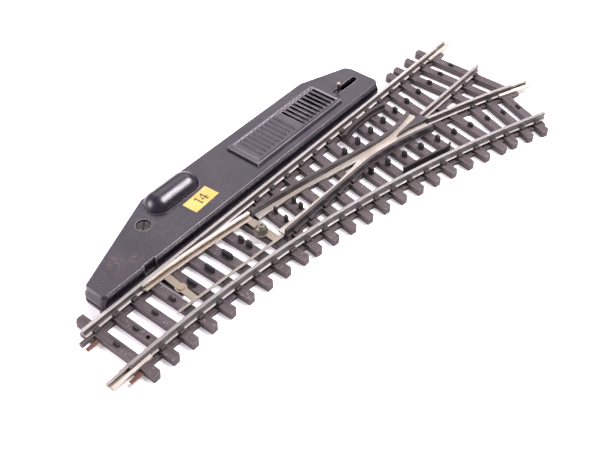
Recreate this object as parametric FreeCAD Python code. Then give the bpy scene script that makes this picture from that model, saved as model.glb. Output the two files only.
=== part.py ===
import os
import math
import FreeCAD, Part

# Right-hand turnout for model track. Millimetres.
# Origin: middle of the straight route at the toe end, on the standing plane.
# +X runs along the straight route, +Y to the side of the motor, +Z up.

V = FreeCAD.Vector

# Track
railOffset = 8.8            # gauge 16.5 mm plus one rail head of 1.1 mm, halved
curveRadius = 424.6         # centre line of the diverging route
straightLength = 168.9
curveAngle = 22.5
tieTop = 2.1
railTop = 4.6
headHalf = 0.55
footHalf = 1.1
tieWidth = 3.05
tieEnd = 15.0
tieChamfer = 0.9
innerRadius = curveRadius - railOffset     # right rail of the diverging route
outerRadius = curveRadius + railOffset     # left rail of the diverging route

# Ties: nine square to the straight route, then a fan
squareTieFirst = 3.42
squareTiePitch = 6.93
squareTieCount = 9
fanTieFirst = 66.9
fanTiePitch = 7.06
fanLeans = [8.8, 9.3, 9.5, 9.9, 10.1, 10.3, 10.4, 10.6, 10.8, 10.8, 10.9, 10.9]
bentTies = [(151.6, 146.8), (158.6, 153.1), (165.7, 159.0)]
webHalf = 2.2
webTop = 1.2
rodGap = (25.7, 29.6)       # free space between two ties for the throw rod
fixingHole = (10.35, -4.5)
fixingHoleRadius = 0.6
joinerLength = 13.5
plateLow = 2.6              # contact plate of the crossing, at its arms and at the nose
plateHigh = 3.3

# Moving frame of the blades, drawn in the diverging position
pivot = (58.25, -2.6)
pivotRadius = 1.3
frameTilt = -4.78           # direction of the right blade
frameLow = 2.6
frameHigh = 3.0
rightTip = (20.95, -5.2)
rightLength = 40.15
rightHalf = 0.42
drivePin = (27.8, 0.38)
pinRadius = 0.7
runningGap = 0.06
leverTravel = 7.5
throwRodTravel = 2.56       # the blades then swing 4.8 degrees

# Motor housing
housingOutline = [(9.4, 10.45), (9.4, 17.9), (42.6, 30.8), (117.5, 30.8),
                  (134.6, 24.6), (135.6, 22.4), (135.6, 12.0), (134.0, 10.45)]
baseFront = 10.75
baseTop = 3.6
rimLow = 1.7                # flange round the base, above a narrower tub
rimHigh = 2.7
flare = 0.8                 # how far the flange and the cover's skirt stand out
coverTop = 7.4
wall = 1.0
axisY = 18.1                # plunger and lever slot
axisZ = 4.4
camPin = (27.8, 17.0)
ventBox = (75.7, 118.2, 13.3, 26.5)
slatPitch = 1.98
leverAt = 122.7
slotFrom = 121.1
slotTo = 131.1
slotHalf = 1.15
domeRadius = 4.8
domeHeight = 3.6
domeEnds = (44.85, 55.65)   # centres of its round ends
domeY = 25.55
inletAt = 66.0              # hole for the leads, in the long outer wall
inletRadius = 0.9
screwAt = (35.65, 22.4)


def box(x0, x1, y0, y1, z0, z1):
    return Part.makeBox(x1 - x0, y1 - y0, z1 - z0, V(x0, y0, z0))


def rod(x, y, z0, z1, radius):
    return Part.makeCylinder(radius, z1 - z0, V(x, y, z0))


def barX(x0, x1, y, z, radius):
    return Part.makeCylinder(radius, x1 - x0, V(x0, y, z), V(1, 0, 0))


def prism(points, z0, z1):
    corners = [V(x, y, z0) for x, y in points]
    face = Part.Face(Part.makePolygon(corners + [corners[0]]))
    return face.extrude(V(0, 0, z1 - z0))


def inset(points, distance):
    # Clockwise outline seen from above: each side moves inward by the distance
    lines = []
    for i, (ax, ay) in enumerate(points):
        bx, by = points[(i + 1) % len(points)]
        length = math.hypot(bx - ax, by - ay)
        nx = (by - ay) / length
        ny = -(bx - ax) / length
        lines.append((nx, ny, nx * ax + ny * ay + distance))
    result = []
    for i in range(len(points)):
        a, b, c = lines[i - 1]
        d, e, f = lines[i]
        det = a * e - b * d
        result.append(((c * e - b * f) / det, (a * f - c * d) / det))
    return result


def fuse(shapes):
    first = shapes[0]
    return first.multiFuse(shapes[1:]).removeSplitter() if len(shapes) > 1 else first


def placed(shape, x, y, degrees):
    copy = shape.copy()
    copy.rotate(V(0, 0, 0), V(0, 0, 1), degrees)
    copy.translate(V(x, y, 0))
    return copy


def arcY(radius, x):
    return math.sqrt(radius ** 2 - x ** 2) - curveRadius


def arcDirection(radius, x):
    return -math.degrees(math.asin(x / radius))


def straightBar(profile, x0, x1, y):
    corners = [V(x0, y + u, z) for u, z in profile]
    face = Part.Face(Part.makePolygon(corners + [corners[0]]))
    return face.extrude(V(x1 - x0, 0, 0))


def curvedBar(profile, radius, x0, x1):
    corners = [V(0, radius - curveRadius + u, z) for u, z in profile]
    face = Part.Face(Part.makePolygon(corners + [corners[0]]))
    a0 = arcDirection(radius, x0)
    a1 = arcDirection(radius, x1)
    centre = V(0, -curveRadius, 0)
    face.rotate(centre, V(0, 0, 1), a0)
    return face.revolve(centre, V(0, 0, 1), a1 - a0)


def ribbon(points, left, right, z0, z1):
    # Strip along a smooth path, from one side offset to the other
    path = Part.BSplineCurve()
    path.interpolate([V(x, y, z0) for x, y in points])
    count = 3 * len(points)
    edges = []
    for offset in (left, right):
        side = []
        for i in range(count + 1):
            t = path.FirstParameter + (path.LastParameter - path.FirstParameter) * i / count
            spot = path.value(t)
            along = path.tangent(t)[0]
            side.append(V(spot.x - along.y * offset, spot.y + along.x * offset, z0))
        curve = Part.BSplineCurve()
        curve.interpolate(side)
        edges.append((curve.toShape(), side))
    (first, a), (second, b) = edges
    ends = [Part.makeLine(a[0], b[0]), Part.makeLine(a[-1], b[-1])]
    outline = Part.Wire(Part.__sortEdges__([first, second] + ends))
    return Part.Face(outline).extrude(V(0, 0, z1 - z0))


# ---------------------------------------------------------------- ties

def tieLines():
    # Each tie: crossing of the straight centre line, lean in degrees, near and far end along it
    lines = []
    for i in range(squareTieCount):
        x = squareTieFirst + squareTiePitch * i
        left = (tieEnd, 13.6)[i] if i < 2 else baseFront
        lines.append((x, 0.0, alongTo(x, 0.0, innerRadius - 6.5), left))
    for i, lean in enumerate(fanLeans):
        x = fanTieFirst + fanTiePitch * i
        left = tieEnd if i == len(fanLeans) - 1 else baseFront
        lines.append((x, lean, alongTo(x, lean, innerRadius - 6.5), left / math.cos(math.radians(lean))))
    return lines


def alongTo(x, lean, radius):
    # Distance along a leaning tie, from the straight centre line to a circle of the diverging route
    s = math.sin(math.radians(lean))
    c = math.cos(math.radians(lean))
    dot = x * s + curveRadius * c
    return -dot + math.sqrt(dot ** 2 - (x ** 2 + curveRadius ** 2 - radius ** 2))


def tieBlock(start, end, z0=0.0, z1=tieTop):
    # Local axes: +X across the tie, +Y along it
    h = tieWidth / 2
    k = tieChamfer
    outline = [(-h, start), (h - k, start), (h, start + k), (h, end), (-h + k, end), (-h, end - k)]
    return prism(outline, z0, z1)


def tieParts():
    parts = []
    for x, lean, start, end in tieLines():
        parts.append(placed(tieBlock(start, end), x, 0, -lean))
    for x, divergingX in bentTies:
        low = arcY(outerRadius, x)
        parts.append(placed(tieBlock(low, tieEnd), x, 0, 0))
        y = arcY(curveRadius, divergingX)
        lean = arcDirection(curveRadius, divergingX)
        parts.append(placed(tieBlock(-tieEnd, railOffset), divergingX, y, lean))
    return parts


def makeTieBed():
    web = [(-webHalf, 0), (webHalf, 0), (webHalf, webTop), (-webHalf, webTop)]
    narrow = [(-1.2, 0), (1.2, 0), (1.2, webTop), (-1.2, webTop)]
    parts = tieParts()
    parts.append(straightBar(web, 0.3, rodGap[0], railOffset))
    parts.append(straightBar(web, rodGap[1], straightLength - 0.5, railOffset))
    parts.append(curvedBar(web, innerRadius, 0.3, 158.6))
    parts.append(straightBar(narrow, 61.6, 131.0, -railOffset))
    parts.append(straightBar(web, 131.0, straightLength - 0.5, -railOffset))
    parts.append(curvedBar(narrow, outerRadius, 61.6, 131.0))
    parts.append(curvedBar(web, outerRadius, 131.0, 165.2))
    parts.append(peg(-2.4, 2.4, 6.9, 8.0))
    parts.append(peg(-2.2, 2.4, -7.7, -6.7))
    parts.append(peg(166.0, 170.6, 6.0, 7.2))
    endX, endY = arcEnd(curveRadius + 6.6)
    parts.append(placed(peg(-3.5, 1.6, -0.6, 0.6), endX, endY, -curveAngle))
    parts.append(rod(pivot[0], pivot[1], tieTop, frameLow - 0.05, 2.1))
    parts.append(rod(pivot[0], pivot[1], frameLow - 0.1, frameHigh + 0.05, pivotRadius))
    bed = fuse(parts)
    behind = box(0, 140, baseFront, 20, -1, 3)
    bed = bed.cut(behind.common(prism(inset(housingOutline, 0.23), -1, 3)))
    bed = bed.cut(behind.common(prism(inset(housingOutline, -flare - 0.02), rimLow - 0.02, 3)))
    for space in joinerSpaces():
        bed = bed.cut(space)
    return bed.cut(rod(fixingHole[0], fixingHole[1], -1, 3, fixingHoleRadius))


def peg(x0, x1, y0, y1):
    # Locating peg that reaches past the end of the bed
    return box(x0, x1, y0, y1, 0.9, 2.05)


def joinerPlaces():
    endX, endY = arcEnd(outerRadius)
    return [(-0.3, -railOffset, 0), (169.8, railOffset, 0), (endX + 0.7, endY - 0.33, -curveAngle)]


def joinerSpaces():
    # Room left round each rail joiner
    room = box(-joinerLength / 2 - 0.1, joinerLength / 2 + 0.1, -1.6, 1.6, 1.74, 4)
    return [placed(room, x, y, turn) for x, y, turn in joinerPlaces()]


def arcEnd(radius):
    a = math.radians(curveAngle)
    return radius * math.sin(a), radius * math.cos(a) - curveRadius


def chair():
    # Clip over one edge of a rail foot; +Y points away from the rail
    profile = [(1.14, tieTop), (1.95, tieTop), (1.95, 2.45), (1.6, 2.9),
               (0.68, 2.9), (0.68, 2.6), (1.14, 2.42)]
    corners = [V(-1.0, u, z) for u, z in profile]
    face = Part.Face(Part.makePolygon(corners + [corners[0]]))
    return face.extrude(V(2.0, 0, 0))


def makeChairs():
    clip = chair()
    clips = []
    for x, lean, start, end in tieLines():
        slope = math.tan(math.radians(lean))
        leftX = x + railOffset * slope
        clips.append(placed(clip, leftX, railOffset, 0))
        bladeZone = 19 < leftX < 66
        if not bladeZone:
            clips.append(placed(clip, leftX, railOffset, 180))
        along = alongTo(x, lean, innerRadius)
        rx = x + along * math.sin(math.radians(lean))
        turn = arcDirection(innerRadius, rx)
        clips.append(placed(clip, rx, arcY(innerRadius, rx), turn + 180))
        if not 19 < rx < 45:
            clips.append(placed(clip, rx, arcY(innerRadius, rx), turn))
        closureX = x - railOffset * slope
        if 61.5 < closureX < 98:
            clips.append(placed(clip, closureX, -railOffset, 180))
        if closureX > 133:
            clips.append(placed(clip, closureX, -railOffset, 0))
    for x, divergingX in bentTies:
        clips.append(placed(clip, x, railOffset, 0))
        clips.append(placed(clip, x, railOffset, 180))
        clips.append(placed(clip, x, -railOffset, 0))
        clips.append(placed(clip, x, -railOffset, 180))
        turn = arcDirection(curveRadius, divergingX)
        for radius in (innerRadius, outerRadius):
            rx = divergingX * radius / curveRadius
            clips.append(placed(clip, rx, arcY(radius, rx), turn))
            clips.append(placed(clip, rx, arcY(radius, rx), turn + 180))
    spaces = joinerSpaces()
    free = [c for c in clips if all(c.distToShape(space)[0] > 0 for space in spaces)]
    return Part.makeCompound(free)


def makeSlidePlates():
    # Thin dark plates on the ties that the right blade travels over
    plates = []
    for i in range(3, 9):
        x = squareTieFirst + squareTiePitch * i
        high = rightTip[1] - (x - rightTip[0]) * math.tan(math.radians(-frameTilt)) + 0.5
        low = arcY(innerRadius, x) + (2.1 if x > 44 else 1.3)
        plates.append(box(x - 1.3, x + 1.3, low, high, tieTop, 2.22))
    return Part.makeCompound(plates)


# ---------------------------------------------------------------- rails

def railProfile():
    right = [(footHalf, tieTop), (footHalf, 2.35), (0.3, 2.6), (0.3, 3.8), (headHalf, 3.95),
             (headHalf, 4.45), (headHalf - 0.13, railTop)]
    left = [(-u, z) for u, z in reversed(right)]
    return right + left


def makeStraightStock():
    return straightBar(railProfile(), 0, straightLength, railOffset)


def makeCurvedStock():
    return curvedBar(railProfile(), innerRadius, 0, innerRadius * math.sin(math.radians(curveAngle)))


def makeExitStraight():
    return straightBar(railProfile(), 132.1, straightLength, -railOffset)


def makeExitDiverging():
    return curvedBar(railProfile(), outerRadius, 132.0, outerRadius * math.sin(math.radians(curveAngle)))


def makeJoiner(place):
    # Channel folded round a rail foot
    profile = [(-1.5, 1.78), (1.5, 1.78), (1.5, 2.75), (0.55, 2.95), (0.42, 2.74), (1.2, 2.5),
               (1.2, 2.06), (-1.2, 2.06), (-1.2, 2.5), (-0.42, 2.74), (-0.55, 2.95), (-1.5, 2.75)]
    corners = [V(-joinerLength / 2, u, z) for u, z in profile]
    face = Part.Face(Part.makePolygon(corners + [corners[0]]))
    x, y, turn = place
    return placed(face.extrude(V(joinerLength, 0, 0)), x, y, turn)


# ---------------------------------------------------------------- closure and frog

def leftPath():
    points = [(x, arcY(outerRadius + 0.1, x)) for x in (61.6, 68, 75, 82, 89, 96, 102)]
    wing = [(106, -4.15), (110, -4.98), (114.5, -5.68), (119, -6.03), (122.5, -5.92),
            (126.5, -5.45), (130.7, -4.85)]
    return points + wing


def rightPath():
    points = [(x, -8.9) for x in (61.9, 68, 75, 82, 89, 96)]
    wing = [(102, -9.0), (107, -9.4), (111, -10.05), (115, -10.85), (120, -12.05),
            (125, -13.45), (130.0, -15.1)]
    return points + wing


def makeGuideLeft():
    top = ribbon(leftPath(), 0.48, -0.48, tieTop, railTop)
    foot = ribbon(leftPath(), 0.95, 0.3, tieTop, 2.4)
    return fuse([top, foot])


def makeGuideRight():
    top = ribbon(rightPath(), 0.45, -0.45, tieTop, railTop)
    foot = ribbon(rightPath(), -0.3, -1.0, tieTop, 2.35)
    return fuse([top, foot])


def splineFace(first, second):
    # Area between two smooth lines, their ends joined straight
    edges = []
    for points in (first, second):
        curve = Part.BSplineCurve()
        curve.interpolate([V(x, y, 0) for x, y in points])
        edges.append(curve.toShape())
    for a, b in ((first[0], second[0]), (first[-1], second[-1])):
        if a != b:
            edges.append(Part.makeLine(V(a[0], a[1], 0), V(b[0], b[1], 0)))
    return Part.Face(Part.Wire(Part.__sortEdges__(edges)))


def makeNose():
    # Pointed block with a short slope down to its tip
    outline = [(118.5, -8.85), (119.6, -8.75), (131.9, -8.4),
               (131.9, -12.0), (128.5, -10.95), (124.5, -9.85)]
    block = prism(outline, tieTop, railTop)
    slope = [V(117, -20, 3.7), V(120.2, -20, railTop), V(120.2, -20, 6), V(117, -20, 6)]
    above = Part.Face(Part.makePolygon(slope + [slope[0]])).extrude(V(0, 20, 0))
    return block.cut(above)


def makeFrogPlate():
    # Two arms that meet under the crossing, rising towards the nose so that the wheel flanges are carried
    left = ribbon(leftPath(), -0.5, -3.4, tieTop, plateHigh)
    right = ribbon(rightPath(), 3.7, 0.47, tieTop, plateHigh)
    tail = box(129.0, 131.6, -7.3, -5.7, tieTop, plateHigh)
    plate = fuse([left, right, tail])
    leftInner = [(58, 1.7), (61.9, 1.5), (68.5, 1.0), (75.8, 0.2), (88, -2.3), (101, -5.68)]
    rightInner = [(58, -5.8), (62.7, -5.95), (70.5, -6.3), (86, -6.62), (95, -6.4), (101, -5.68)]
    plate = plate.cut(splineFace(leftInner, rightInner).extrude(V(0, 0, 9)))
    noseRoom = [(118.2, -8.9), (119.6, -8.65), (132, -8.3), (132, -12.2), (124.5, -10.0)]
    plate = plate.cut(prism(noseRoom, 0, 9))
    plate = plate.cut(makeGuideLeft()).cut(makeGuideRight())
    rise = [V(50, -30, plateLow), V(90, -30, plateLow), V(112, -30, plateHigh),
            V(112, -30, 6), V(50, -30, 6)]
    plate = plate.cut(Part.Face(Part.makePolygon(rise + [rise[0]])).extrude(V(0, 50, 0)))
    plate = plate.cut(placed(box(-4, 0, -7, 3, 0, 9), 62.4, 3, -8))
    plate = plate.cut(box(130.6, 140, -30, -8, 0, 9))
    return max(plate.Solids, key=lambda s: s.Volume)


def makeCheckLeft():
    path = [(107.6, 4.3), (110, 4.9), (113, 5.3), (118.5, 5.45), (124, 5.3), (127, 4.75), (129.4, 3.9)]
    rib = ribbon(path, 0.55, -0.55, tieTop, railTop)
    ledge = ribbon(path, -0.4, -1.15, tieTop, 3.0)
    return fuse([rib, ledge])


def makeCheckRight():
    points = [(x, arcY(innerRadius + headHalf + 1.9, x)) for x in (106.0, 108, 112, 116, 120)]
    return ribbon(points + [(123, -24.75), (125.6, -24.6)], 0.35, -0.35, tieTop, railTop + 0.35)


# ---------------------------------------------------------------- centre studs

def stud(x, y, turn, length, height):
    h = length / 2
    profile = [(-h, tieTop), (h, tieTop), (h, tieTop + height - 0.3), (h - 0.3, tieTop + height),
               (-h + 0.3, tieTop + height), (-h, tieTop + height - 0.3)]
    corners = [V(-0.33, u, z) for u, z in profile]
    plate = Part.Face(Part.makePolygon(corners + [corners[0]])).extrude(V(0.66, 0, 0))
    return placed(plate, x, y, turn)


def makeStuds():
    studs = []
    shared = [(0, 0.0, 2.0, 0.75), (0, 0.0, 2.0, 0.8), (0, -0.2, 2.1, 1.0), (-0.6, -0.4, 2.3, 1.25),
              (0, -0.6, 3.2, 1.6), (0, -0.85, 3.4, 1.9), (0, -1.2, 3.9, 2.15)]
    for i, (shift, y, length, height) in enumerate(shared):
        studs.append(stud(squareTieFirst + squareTiePitch * i + shift, y, 0, length, height))
    doubleX = squareTieFirst + squareTiePitch * 7
    studs.append(stud(doubleX, -0.3, 0, 1.9, 2.35))
    studs.append(stud(doubleX, -3.45, 0, 2.0, 2.35))
    besideClosure = [(67.5, -0.3), (74.5, -1.65), (66.75, -5.0), (73.75, -4.9)]
    for x, y in besideClosure:
        studs.append(stud(x, y, -9, 1.4, 2.4))
    straightHeights = {5: 2.5, 6: 2.5, 7: 2.35, 8: 2.25, 9: 2.1, 10: 1.7, 11: 1.55}
    divergingHeights = {5: 2.5, 6: 2.5, 7: 2.1, 8: 2.1, 9: 2.1, 10: 1.7, 11: 1.5}
    for i, lean in enumerate(fanLeans):
        x = fanTieFirst + fanTiePitch * i
        if i in straightHeights:
            studs.append(stud(x, 0, -lean, 1.9, straightHeights[i]))
        if i in divergingHeights:
            along = alongTo(x, lean, curveRadius)
            dx = x + along * math.sin(math.radians(lean))
            dy = along * math.cos(math.radians(lean))
            studs.append(stud(dx, dy, -lean, 1.9, divergingHeights[i]))
    for (x, divergingX), height in zip(bentTies, (1.3, 1.05, 0.8)):
        studs.append(stud(x, 0, 0, 1.9, height))
        turn = arcDirection(curveRadius, divergingX)
        studs.append(stud(divergingX, arcY(curveRadius, divergingX), turn, 1.9, height))
    return Part.makeCompound(studs)


def tongue(y0, y1):
    # Thin strip that leaves the first tie and meets the next length of track
    return box(-2.4, squareTieFirst - tieWidth / 2, y0, y1, 1.2, 1.5)


# ---------------------------------------------------------------- blades

def bladeLeftProfile():
    # Rail-like head, leaning web and a wide inner flange in the plane of the frame
    right = [(-1.55, frameLow), (0.3, frameLow), (0.3, 3.85), (headHalf, 3.95), (headHalf, 4.5),
             (headHalf - 0.1, railTop)]
    left = [(-headHalf + 0.15, railTop), (-headHalf, 4.45), (-headHalf, 3.95), (-0.15, 3.8),
            (-0.15, frameHigh), (-1.55, frameHigh)]
    return right + left


def makeBladeLeft():
    blade = curvedBar(bladeLeftProfile(), outerRadius, 20.6, 60.9)
    blade = blade.cut(box(10, 70, 8.1, 12, 0, 9))
    return blade.cut(box(20, 22.2, 5, 7.9, 0, 3.2).cut(rod(22.2, 7.9, 0, 9, 1.55)))


def makeBladeRight():
    # Narrow strip with its tip bent a little outward
    bar = box(0.6, rightLength, -rightHalf, rightHalf, frameLow, frameHigh)
    outline = [(0, -0.42), (0, 0.1), (0.6, rightHalf), (1.2, rightHalf), (1.2, -rightHalf), (0.6, -rightHalf)]
    tip = prism(outline, frameLow, frameHigh)
    return placed(fuse([bar, tip]), rightTip[0], rightTip[1], frameTilt)


def makeStretcher():
    # Flat bar between the blades, widened round the slotted hole for the drive pin
    bar = box(-1.1, 1.1, -8.0, 8.5, frameLow, frameHigh)
    bar = fuse([bar, rod(0, 0, frameLow, frameHigh, 1.75)])
    bar = placed(bar, drivePin[0], drivePin[1], frameTilt)
    half = pinRadius + runningGap
    slot = fuse([box(-0.2, 0.2, -half, half, 2, 4), rod(-0.2, 0, 2, 4, half), rod(0.2, 0, 2, 4, half)])
    bar = bar.cut(placed(slot, drivePin[0], drivePin[1], 0))
    return middlePiece(bar.cut(makeBladeLeft()).cut(makeBladeRight()))


def middlePiece(shape):
    # The one solid that is left between the two blades
    return max(shape.Solids, key=lambda solid: solid.Volume)


def makeHeelPlate():
    plate = box(-1.3, 1.3, -9.0, 9.0, frameLow, frameHigh)
    plate = placed(plate, pivot[0] + 0.95, pivot[1], frameTilt)
    plate = plate.fuse(rod(pivot[0], pivot[1], frameLow, frameHigh, 2.3)).removeSplitter()
    plate = plate.cut(rod(pivot[0], pivot[1], 2, 4, pivotRadius + runningGap))
    return middlePiece(plate.cut(makeBladeLeft()).cut(makeBladeRight()))


def makeHeelSkirt():
    # Folded edge under the heel end of the right blade
    skirt = box(rightLength - 3.0, rightLength, -0.3, 0.1, 2.3, frameLow)
    return placed(skirt, rightTip[0], rightTip[1], frameTilt)


def makePivotKnob():
    # Turned cap on the pivot post, its foot just above the heel plate
    low = frameHigh + 0.05
    foot = rod(pivot[0], pivot[1], low, low + 0.3, 2.1)
    cone = Part.makeCone(1.95, 1.2, 1.95, V(pivot[0], pivot[1], low + 0.3))
    crown = rod(pivot[0], pivot[1], low + 2.25, 5.6, 1.2)
    knob = fuse([foot, cone, crown])
    return knob.cut(rod(pivot[0], pivot[1], 5.1, 6, 0.35))


# ---------------------------------------------------------------- throw rod

def makeThrowRod():
    return box(drivePin[0] - 1.0, drivePin[0] + 1.0, -0.9, 18.2, 0.9, 1.7)


def makeDrivePin():
    shaft = rod(drivePin[0], drivePin[1], 1.7, frameHigh + 0.05, pinRadius)
    head = rod(drivePin[0], drivePin[1], frameHigh + 0.05, frameHigh + 0.3, 1.15)
    pin = fuse([shaft, head])
    edges = [e for e in pin.Edges if abs(e.CenterOfMass.z - frameHigh - 0.3) < 0.01]
    return pin.makeFillet(0.12, edges)


def makeCamPin():
    return rod(camPin[0], camPin[1], 1.7, 2.95, pinRadius)


# ---------------------------------------------------------------- motor housing

def housingSlab(margin, z0, z1):
    # Layer of the housing: its outline moved outward, corners rounded with it
    return roundedSides(prism(inset(housingOutline, -margin), z0, z1), 1.4 + margin)


def makeBase():
    tub = housingSlab(-0.25, 0, rimLow + 0.1)
    rim = housingSlab(flare, rimLow, rimHigh)
    neck = housingSlab(0.35, rimHigh - 0.1, baseTop)
    tray = fuse([tub, rim, neck]).cut(box(0, 200, 0, baseFront, -1, 9))
    pocket = prism(inset(housingOutline, wall), wall, 9).cut(box(0, 200, 0, baseFront + wall, -1, 9))
    tray = tray.cut(pocket)
    x = drivePin[0]
    tray = tray.cut(box(x - 1.5, x + 1.5, 0, 18.6, 0.75, 1.9))
    tray = tray.cut(Part.makeCylinder(inletRadius, 4, V(inletAt, 29.0, 2.2), V(0, 1, 0)))
    bosses = [rod(screwAt[0], screwAt[1], wall, 5.1, 2.0)]
    for spot in (44.0, 58.0):
        bosses.append(box(spot - 1.0, spot + 1.0, baseFront + wall - 0.1, 12.7, wall, 3.1))
        bosses.append(box(spot - 1.0, spot + 1.0, 19.0, 19.8, wall, 3.1))
    bosses.append(box(13.5, 16.5, 14.5, 18.0, wall, 1.9))
    tray = fuse([tray] + bosses)
    return tray.cut(rod(screwAt[0], screwAt[1], 1.6, 6, 1.02))


def roundedTop(shape, z, radius):
    edges = [e for e in shape.Edges if abs(e.BoundBox.ZMin - z) < 1e-4 and abs(e.BoundBox.ZMax - z) < 1e-4]
    return shape.makeFillet(radius, edges)


def roundedSides(shape, radius):
    upright = []
    for edge in shape.Edges:
        room = edge.BoundBox
        if room.ZLength > 0.05 and room.XLength < 1e-3 and room.YLength < 1e-3:
            upright.append(edge)
    return shape.makeFillet(radius, upright)


def domeCapsule(radius):
    # Lying cylinder with round ends, its axis a little below the cover's top
    near, far = domeEnds
    z = coverTop + domeHeight - domeRadius
    ends = [Part.makeSphere(radius, V(x, domeY, z)) for x in (near, far)]
    return fuse([barX(near, far, domeY, z, radius)] + ends)


def makeDome():
    return domeCapsule(domeRadius).common(box(30, 70, 15, 35, coverTop - 0.2, 20))


def makeSkirt():
    # Sloping shoulder and short upright foot round the cover, flat along the track
    narrow = housingSlab(0, 6.1, 6.2).Faces
    wide = housingSlab(flare - 0.05, 4.3, 4.4).Faces
    upper = max(narrow, key=lambda face: face.CenterOfMass.z)
    lower = max(wide, key=lambda face: face.CenterOfMass.z)
    shoulder = Part.makeLoft([lower.OuterWire, upper.OuterWire], True, True)
    foot = housingSlab(flare - 0.05, baseTop, 4.4)
    return fuse([shoulder, foot]).cut(box(0, 200, 0, 10.45, 0, 9))


def makeCover():
    body = roundedTop(housingSlab(0, baseTop, coverTop), coverTop, 0.4)
    body = fuse([body, makeSkirt()])
    body = body.cut(prism(inset(housingOutline, wall), baseTop - 1, 6.5))
    body = fuse([body, rod(screwAt[0], screwAt[1], 5.15, 6.6, 3.0), makeDome()])
    x0, x1, y0, y1 = ventBox
    body = body.cut(box(x0 + 1.3, x1 - 1.3, y0 + 1.3, y1 - 1.3, 6, 8))
    slot = box(slotFrom, slotTo, axisY - slotHalf, axisY + slotHalf, 6, 8)
    slot = fuse([slot, rod(slotFrom, axisY, 6, 8, slotHalf), rod(slotTo, axisY, 6, 8, slotHalf)])
    body = body.cut(slot)
    body = body.cut(box(24.3, 28.8, 10, 11.0, 0, 9))
    body = body.cut(domeCapsule(domeRadius - wall))
    body = body.cut(rod(screwAt[0], screwAt[1], 5, 8, 1.15))
    return body.cut(rod(screwAt[0], screwAt[1], 6.6, 8, 2.35))


def makeScrew():
    head = rod(screwAt[0], screwAt[1], 6.6, 7.15, 2.15)
    rim = [e for e in head.Edges if abs(e.CenterOfMass.z - 7.15) < 0.01 and len(e.Vertexes) < 2]
    head = head.makeFillet(0.2, rim)
    screw = fuse([head, rod(screwAt[0], screwAt[1], 2.0, 6.6, 0.98)])
    groove = placed(box(-3, 3, -0.33, 0.33, 6.85, 8), screwAt[0], screwAt[1], 40)
    return screw.cut(groove)


def makeLabel():
    return placed(box(-5.15, 5.15, -2.7, 2.7, coverTop, coverTop + 0.1), 53.95, 17.1, 3.7)


def makeVentPanel():
    x0, x1, y0, y1 = ventBox
    block = box(x0, x1, y0, y1, coverTop, coverTop + 1.0)
    block = block.cut(box(x0 + 1.9, x1 - 0.9, y0 + 1.0, y1 - 0.9, coverTop + 0.55, coverTop + 2))
    skirt = box(x0 + 1.5, x1 - 1.5, y0 + 1.5, y1 - 1.5, 6.9, coverTop)
    skirt = skirt.cut(box(x0 + 2.0, x1 - 2.0, y0 + 1.95, y1 - 1.95, 6, 8))
    parts = [block, skirt]
    for i in range(9):
        x = 80.0 + 2.03 * i
        parts.append(box(x, x + 0.95, y0 + 1.8, y1 - 0.95, coverTop + 0.5, coverTop + 1.05))
    for i in range(8):
        x = 101.42 + slatPitch * i
        parts.append(box(x, x + 0.6, y0 + 1.8, y1 - 0.95, coverTop + 0.5, coverTop + 0.95))
    panel = fuse(parts)
    for i in range(9):
        x = 100.2 + slatPitch * i
        panel = panel.cut(box(x, x + 1.05, y0 + 2.0, y1 - 1.5, 6.5, 9))
    return panel


# ---------------------------------------------------------------- coils and plunger

coilSpans = [(79.6, 97.0), (99.5, 116.9)]


def bobbin(x0, x1):
    h = 2.7
    near = box(x0, x0 + 0.8, axisY - h, axisY + h, axisZ - h, axisZ + h)
    far = box(x1 - 0.8, x1, axisY - h, axisY + h, axisZ - h, axisZ + h)
    tube = barX(x0, x1, axisY, axisZ, 2.05)
    return fuse([near, far, tube]).cut(barX(x0 - 1, x1 + 1, axisY, axisZ, 1.66))


def winding(x0, x1):
    return barX(x0 + 0.85, x1 - 0.85, axisY, axisZ, 2.55).cut(barX(x0, x1, axisY, axisZ, 2.08))


def makeYoke():
    strip = box(78.6, 117.9, axisY - 2.5, axisY + 2.5, wall, 1.65)
    plates = [box(x, x + 0.8, axisY - 2.5, axisY + 2.5, 1.6, 6.3) for x in (78.6, 97.85, 117.1)]
    yoke = fuse([strip] + plates)
    return yoke.cut(barX(70, 130, axisY, axisZ, 1.7))


def makePlunger():
    thin = barX(67.0, 120.0, axisY, axisZ, 0.6)
    thick = barX(86.0, 106.0, axisY, axisZ, 1.58)
    return fuse([thin, thick])


def makeLeverSlider():
    # Shoe under the slot, with a low rib standing in the slot
    shoe = box(120.0, 124.8, axisY - 1.6, axisY + 1.6, 2.4, 6.2)
    rib = box(120.2, 122.0, axisY - 0.4, axisY + 0.4, 6.2, coverTop + 0.05)
    return fuse([shoe, rib])


def makeLeverPin():
    stem = rod(leverAt, axisY + 0.2, 6.2, 10.0, 0.42)
    tip = Part.makeSphere(0.55, V(leverAt, axisY + 0.2, 10.0))
    return fuse([stem, tip])


def makeCamLink():
    # Flat slide with an oblique slot for the throw rod's pin and an upright ear for the plunger
    plate = box(17.6, 70.4, 12.8, 18.9, 2.0, 2.9)
    ear = box(68.2, 70.4, 15.6, 20.4, 2.0, 5.6)
    link = fuse([plate, ear])
    slot = []
    half = pinRadius + runningGap
    start = V(camPin[0], camPin[1], 0)
    end = V(camPin[0] - leverTravel, camPin[1] - throwRodTravel, 0)
    angle = math.degrees(math.atan2(start.y - end.y, start.x - end.x))
    length = start.distanceToPoint(end)
    slot.append(placed(box(0, length, -half, half, 1, 4), end.x, end.y, angle))
    slot.append(rod(start.x, start.y, 1, 4, half))
    slot.append(rod(end.x, end.y, 1, 4, half))
    link = link.cut(fuse(slot))
    return link.cut(barX(66, 72, axisY, axisZ, 0.62))


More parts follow.
